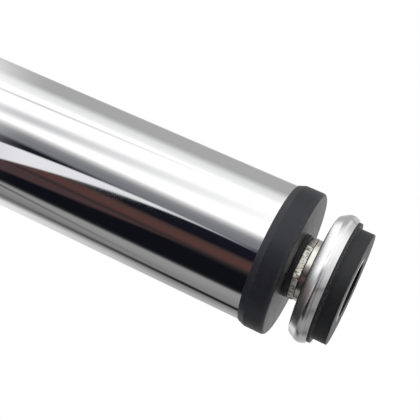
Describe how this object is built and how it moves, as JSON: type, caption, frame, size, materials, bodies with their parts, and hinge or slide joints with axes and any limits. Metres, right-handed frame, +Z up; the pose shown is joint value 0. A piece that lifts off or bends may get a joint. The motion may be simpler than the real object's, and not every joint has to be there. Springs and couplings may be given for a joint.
{
  "type": "telescopic furniture leg",
  "caption": "Round telescopic furniture leg: chromed outer and inner tube, black end cap and lock collar with a hand knob, screw-in levelling foot and a drilled top plate.",
  "frame": {"origin": "centre of the rubber pad's underside, on the floor", "axes": "+Z up the leg's axis to the mounting plate, +X towards the lock knob"},
  "size_m": [0.1102, 0.1, 0.48],
  "materials": {
    "chromed_tube": "polished chrome plate",
    "chromed_dish": "polished chrome plate",
    "nickel_steel": "bright nickel plate",
    "zinc_steel": "zinc plated",
    "spring_steel": "blackened spring steel",
    "black_steel": "satin black powder coat",
    "black_nylon": "fine moulded grain",
    "plug_nylon": "moulded nylon",
    "grey_cover": "fine moulded grain",
    "white_acetal": "smooth acetal",
    "black_rubber": "matt rubber",
    "brass": "turned brass"
  },
  "bodies": {
    "outer_leg": {"outer_tube": "chromed_tube", "end_cap": "black_nylon", "insert_plug": "plug_nylon", "captive_nut": "zinc_steel", "stop_buffer": "black_rubber", "lock_collar": "black_nylon", "guide_bush": "white_acetal", "boss_insert": "brass"},
    "glide": {"glide_bush": "white_acetal"},
    "inner_leg": {"inner_tube": "chromed_tube", "retaining_rings": "spring_steel", "plate_boss": "black_steel", "mounting_plate": "black_steel", "grub_screws": "spring_steel"},
    "lock_shoe": {"pressure_pad": "brass"},
    "lock_handle": {"lock_screw": "zinc_steel", "lock_knob": "black_nylon", "knob_cover": "grey_cover"},
    "stud_carrier": {"thrust_washer": "zinc_steel"},
    "levelling_stud": {"foot_stud": "zinc_steel", "hex_nut": "nickel_steel", "flange_collar": "nickel_steel"},
    "foot": {"foot_dish": "chromed_dish", "rubber_pad": "black_rubber", "pad_plate": "zinc_steel"}
  },
  "joints": [
    {"name": "telescope", "type": "slide", "parent": "outer_leg", "child": "glide", "axis": [0, 0, 1], "range_m": [0, 0.24]},
    {"name": "inner_turn", "type": "hinge", "parent": "glide", "child": "inner_leg", "pos_m": [0, 0, 0.07], "axis": [0, 0, 1], "continuous": true},
    {"name": "lock_travel", "type": "slide", "parent": "outer_leg", "child": "lock_shoe", "axis": [1, 0, 0], "range_m": [0, 0.0025]},
    {"name": "lock_turn", "type": "hinge", "parent": "lock_shoe", "child": "lock_handle", "pos_m": [0.03, 0, 0.4], "axis": [1, 0, 0], "range_deg": [0, 721]},
    {"name": "level_travel", "type": "slide", "parent": "outer_leg", "child": "stud_carrier", "axis": [0, 0, -1], "range_m": [0, 0.018]},
    {"name": "level_turn", "type": "hinge", "parent": "stud_carrier", "child": "levelling_stud", "pos_m": [0, 0, 0.02], "axis": [0, 0, -1], "range_deg": [0, 4325]},
    {"name": "foot_spin", "type": "hinge", "parent": "stud_carrier", "child": "foot", "pos_m": [0, 0, 0.01], "axis": [0, 0, 1], "continuous": true}
  ],
  "couplings": [
    {"joint": "lock_turn", "follows": "lock_travel", "rad_per_m": 5026.5},
    {"joint": "level_turn", "follows": "level_travel", "rad_per_m": 4188.8}
  ]
}
